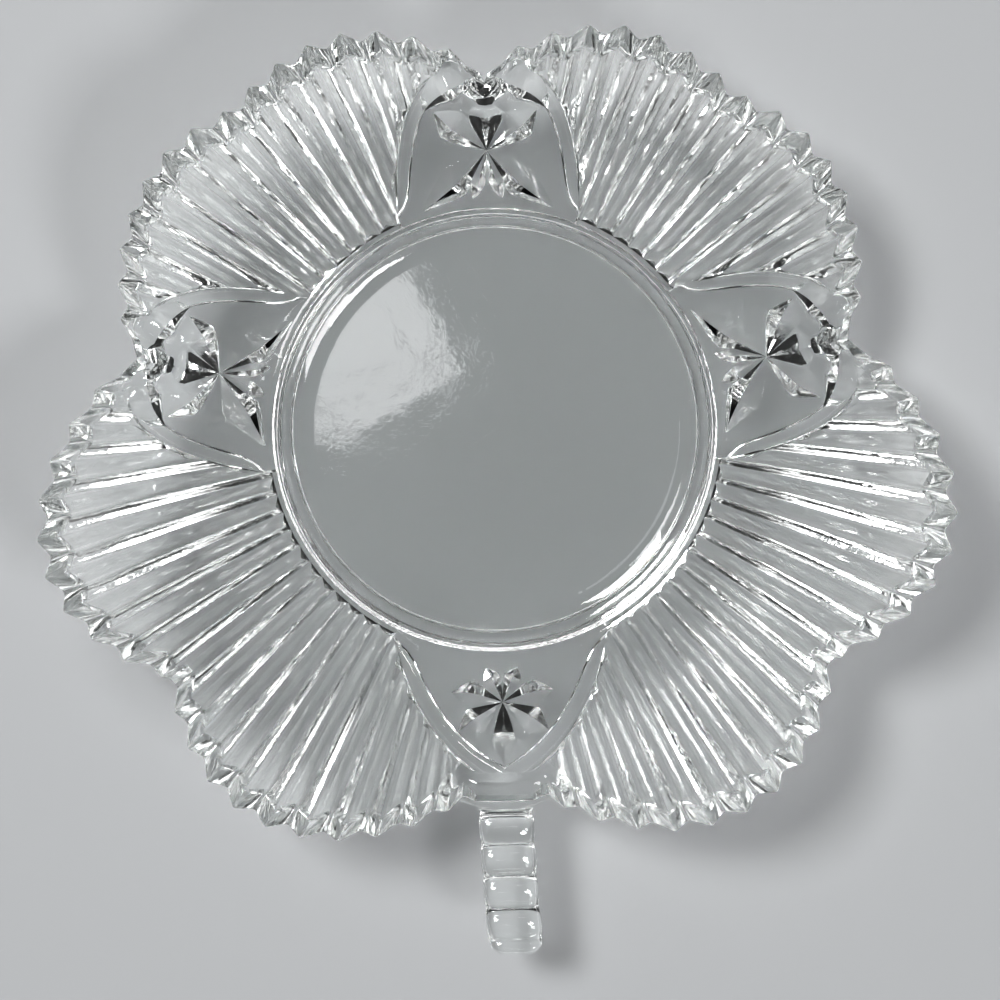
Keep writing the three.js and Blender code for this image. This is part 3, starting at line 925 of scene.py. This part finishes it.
        draft = MeshDraft()
        proud = panel.wall + panel.band_rise + PROUD_OF_BAND
        start = draft.add_point(place(0, 0, panel.wall))
        rings = []
        for share in spread(0, 1, RAY_STATIONS)[1:-1]:
            swell = ray.swell(share)
            half_width = ray.width / 2 * swell
            ease = ray.edge_ease * swell
            side = (
                (half_width * (1 - ease / (ray.depth * swell)), panel.wall - ease),
                (half_width + ray.edge_spread * ease, panel.wall + CUT_CLEARANCE),
                (half_width * (1 + (proud - panel.wall) / (ray.depth * swell)) + ease, proud),
            )
            keel = (0.0, panel.wall - ray.depth * swell)
            other_side = [(-aside, depth) for aside, depth in reversed(side)]
            section = [keel, *side, *other_side]
            rings.append([draft.add_point(place(share, aside, depth)) for aside, depth in section])
        end = draft.add_point(place(1, 0, panel.wall))
        count = len(rings[0])
        for near, far in zip(rings, rings[1:]):
            for index in range(count):
                following = (index + 1) % count
                draft.add_face((near[index], near[following], far[following], far[index]), GlassFace.MOULD)
        for index in range(count):
            following = (index + 1) % count
            draft.add_face((start, rings[0][following], rings[0][index]), GlassFace.MOULD)
            draft.add_face((end, rings[-1][index], rings[-1][following]), GlassFace.MOULD)
        combine(dish, draft.to_object("ray"), Joining.CUT_OUT)


def linear(hex_colour: str) -> tuple[float, float, float, float]:
    """Turns an sRGB hex colour into linear values.

    Args:
        hex_colour: Six hex digits after a number sign.

    Returns:
        Red, green, blue and an alpha of one.
    """
    channels = [int(hex_colour[index : index + 2], 16) / 255 for index in (1, 3, 5)]
    toned = [value / 12.92 if value <= 0.04045 else ((value + 0.055) / 1.055) ** 2.4 for value in channels]
    return (toned[0], toned[1], toned[2], 1.0)


def add_node(
    tree: bpy.types.NodeTree, kind: str, settings: dict[str, Any], links: dict[str, bpy.types.NodeSocket]
) -> bpy.types.Node:
    """Adds a node with its settings and links.

    Args:
        tree: Node tree of a material.
        kind: Blender's name of the node type.
        settings: Values of the node's properties, or of its inputs by name.
        links: Output sockets that feed the inputs by name.

    Returns:
        The node.
    """
    node = tree.nodes.new(kind)
    for name, value in settings.items():
        if name in node.inputs:
            node.inputs[name].default_value = value
        else:
            setattr(node, name, value)
    for name, socket in links.items():
        tree.links.new(socket, node.inputs[name])
    return node


@dataclass(frozen=True)
class PressedGlass:
    """Clear soda-lime glass, pressed in a mould: bright and colourless, with a slow waviness in its gloss.

    The plunger's side was polished by the fire and is nearly flat. The mould's side keeps the fine ripple
    that hot glass takes from a cold iron wall, so its glints break up.
    """

    side: GlassFace
    tint: str = "#FCFEFD"
    ior: float = 1.52
    roughness: float = 0.01
    wave_size_mm: float = 9.0
    wave_depth_mm: float = 0.035
    ripple_size_mm: float = 1.6
    ripple_depth_mm: float = 0.006
    pit_size_mm: float = 0.6
    pit_depth_mm: float = 0.0

    def material(self) -> bpy.types.Material:
        """Makes the material from three bumps, of the waves, the ripple and the pits.

        Returns:
            The material, in place of the draft's empty one.
        """
        made = bpy.data.materials.get(self.side.name) or bpy.data.materials.new(self.side.name)
        made.name = f"pressed_soda_lime_glass_{self.side.name.lower()}_side"
        made.use_nodes = True
        tree = made.node_tree
        tree.nodes.clear()
        place = add_node(tree, "ShaderNodeTexCoord", {}, {}).outputs["Object"]
        normal = None
        for size, depth, detail in (
            (self.wave_size_mm, self.wave_depth_mm, 1.0),
            (self.ripple_size_mm, self.ripple_depth_mm, 2.0),
            (self.pit_size_mm, self.pit_depth_mm, 1.0),
        ):
            noise = add_node(
                tree, "ShaderNodeTexNoise", {"Scale": 1 / (size * MM), "Detail": detail}, {"Vector": place}
            )
            feed = {"Height": noise.outputs["Fac"]}
            if normal is not None:
                feed["Normal"] = normal
            bump = add_node(tree, "ShaderNodeBump", {"Strength": 1.0, "Distance": depth * MM}, feed)
            normal = bump.outputs["Normal"]
        glass = add_node(
            tree,
            "ShaderNodeBsdfPrincipled",
            {
                "Base Color": linear(self.tint),
                "Roughness": self.roughness,
                "IOR": self.ior,
                "Transmission Weight": 1.0,
            },
            {"Normal": normal},
        )
        add_node(tree, "ShaderNodeOutputMaterial", {}, {"Surface": glass.outputs["BSDF"]})
        return made


@dataclass(frozen=True)
class PaperFloor:
    """Pale uncoated paper that the dish stands on: even and matt, so that it takes only soft shadows."""

    colour: str = "#BEC0C2"
    roughness: float = 0.9
    ior: float = 1.4
    specular: float = 0.2
    half_width: float = 2.0
    gap: float = 0.00005

    def build(self) -> bpy.types.Object:
        """Makes the floor just below the foot.

        Returns:
            The floor.
        """
        mesh = bpy.data.meshes.new("floor")
        edge = self.half_width
        corners = [(-edge, -edge, 0), (edge, -edge, 0), (edge, edge, 0), (-edge, edge, 0)]
        mesh.from_pydata(corners, [], [(0, 1, 2, 3)])
        floor = bpy.data.objects.new("floor", mesh)
        bpy.context.scene.collection.objects.link(floor)
        paper = bpy.data.materials.new("matt_paper")
        paper.use_nodes = True
        tree = paper.node_tree
        tree.nodes.clear()
        surface = add_node(
            tree,
            "ShaderNodeBsdfPrincipled",
            {
                "Base Color": linear(self.colour),
                "Roughness": self.roughness,
                "IOR": self.ior,
                "Specular IOR Level": self.specular,
            },
            {},
        )
        add_node(tree, "ShaderNodeOutputMaterial", {}, {"Surface": surface.outputs["BSDF"]})
        mesh.materials.append(paper)
        floor.location.z = -self.gap
        return floor


@dataclass(frozen=True)
class Softbox:
    """A plain soft lamp that faces the dish, with its place and size in metres."""

    name: str
    place: tuple[float, float, float]
    width: float
    height: float
    watts: float

    def build(self) -> bpy.types.Object:
        """Makes the lamp.

        Returns:
            The lamp's object.
        """
        lamp = bpy.data.lights.new(self.name, "AREA")
        lamp.shape = "RECTANGLE"
        lamp.size = self.width
        lamp.size_y = self.height
        lamp.energy = self.watts
        placed = bpy.data.objects.new(self.name, lamp)
        placed.location = self.place
        placed.rotation_euler = (-Vector(self.place)).to_track_quat("-Z", "Y").to_euler()
        bpy.context.scene.collection.objects.link(placed)
        return placed


@dataclass(frozen=True)
class Studio:
    """Camera at the photograph's angle, soft lamps and the floor."""

    camera_place_mm: tuple[float, float, float] = (0.6, 42.1, 530.0)
    lean: float = 6.0
    roll: float = 1.7
    focal_mm: float = 100.7
    sensor_mm: float = 36.0
    wall_glow: float = 5.0
    ceiling_glow: float = 0.02
    wall_top: float = 0.28
    lamps: tuple[Softbox, ...] = (
        Softbox("key_softbox", (-0.45, 0.40, 1.05), 0.32, 0.32, 10.0),
        Softbox("fill_softbox", (0.55, -0.45, 0.95), 0.30, 0.30, 4.5),
        Softbox("window_softbox", (-0.10, -0.05, 1.50), 0.12, 0.11, 0.15),
    )

    def build(self) -> None:
        """Makes the camera, the lamps, the world and the floor."""
        scene = bpy.context.scene
        scene.view_settings.view_transform = "Standard"
        scene.cycles.max_bounces = 24
        scene.cycles.transmission_bounces = 24
        scene.cycles.glossy_bounces = 12
        scene.cycles.sample_clamp_indirect = 0.0
        lens = bpy.data.cameras.new("camera")
        lens.lens = self.focal_mm
        lens.sensor_width = self.sensor_mm
        lens.clip_start = 0.01
        camera = bpy.data.objects.new("camera", lens)
        lean = math.radians(self.lean)
        roll = math.radians(self.roll)
        right = Vector((1, 0, 0))
        up = Vector((0, math.cos(lean), -math.sin(lean)))
        back = Vector((0, math.sin(lean), math.cos(lean)))
        across = right * math.cos(roll) - up * math.sin(roll)
        upward = right * math.sin(roll) + up * math.cos(roll)
        turn = Matrix((across, upward, back)).transposed().to_4x4()
        camera.matrix_world = Matrix.Translation(Vector(self.camera_place_mm) * MM) @ turn
        scene.collection.objects.link(camera)
        scene.camera = camera
        for lamp in self.lamps:
            lamp.build()
        scene.world = self.walls()
        PaperFloor().build()

    def walls(self) -> bpy.types.World:
        """Makes the white lit walls round the studio, which fade into a dark ceiling.

        Returns:
            The world.
        """
        world = bpy.data.worlds.new("studio_walls")
        world.use_nodes = True
        tree = world.node_tree
        tree.nodes.clear()
        place = add_node(tree, "ShaderNodeTexCoord", {}, {}).outputs["Generated"]
        rise = add_node(tree, "ShaderNodeSeparateXYZ", {}, {"Vector": place}).outputs["Z"]
        height = add_node(tree, "ShaderNodeMath", {"operation": "ABSOLUTE"}, {"Value": rise}).outputs["Value"]
        fade = {"interpolation_type": "SMOOTHSTEP", "From Min": 0.0, "From Max": self.wall_top}
        glow = {"To Min": self.wall_glow, "To Max": self.ceiling_glow}
        span = add_node(tree, "ShaderNodeMapRange", fade | glow, {"Value": height})
        background = add_node(
            tree, "ShaderNodeBackground", {"Color": linear("#FFFFFF")}, {"Strength": span.outputs["Result"]}
        )
        add_node(tree, "ShaderNodeOutputWorld", {}, {"Surface": background.outputs["Background"]})
        return world


def shade(piece: bpy.types.Object, crease_angle: float) -> None:
    """Shades a piece smoothly between its creases.

    Args:
        piece: Mesh object.
        crease_angle: Angle in degrees from which an edge stays sharp.
    """
    piece.data.shade_smooth()
    piece.data.set_sharp_from_angle(angle=math.radians(crease_angle))
    weighted = piece.modifiers.new("even_normals", "WEIGHTED_NORMAL")
    weighted.keep_sharp = True
    weighted.weight = 50


def main() -> None:
    """Builds the glass, dresses it and sets the studio up."""
    logging.basicConfig(level=logging.INFO, format="%(name)s: %(message)s")
    dish = PressedDish().build()
    finishes = (
        PressedGlass(GlassFace.PLUNGER),
        PressedGlass(GlassFace.MOULD, wave_depth_mm=0.05, ripple_depth_mm=0.01, pit_depth_mm=0.004),
    )
    for finish in finishes:
        dish.data.materials[finish.side.value] = finish.material()
    shade(dish, CREASE_ANGLE)
    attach(dish, "root")
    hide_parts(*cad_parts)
    LOG.info("%s: %d points, %d faces", dish.name, len(dish.data.vertices), len(dish.data.polygons))
    Studio().build()


if __name__ == "__main__":
    main()
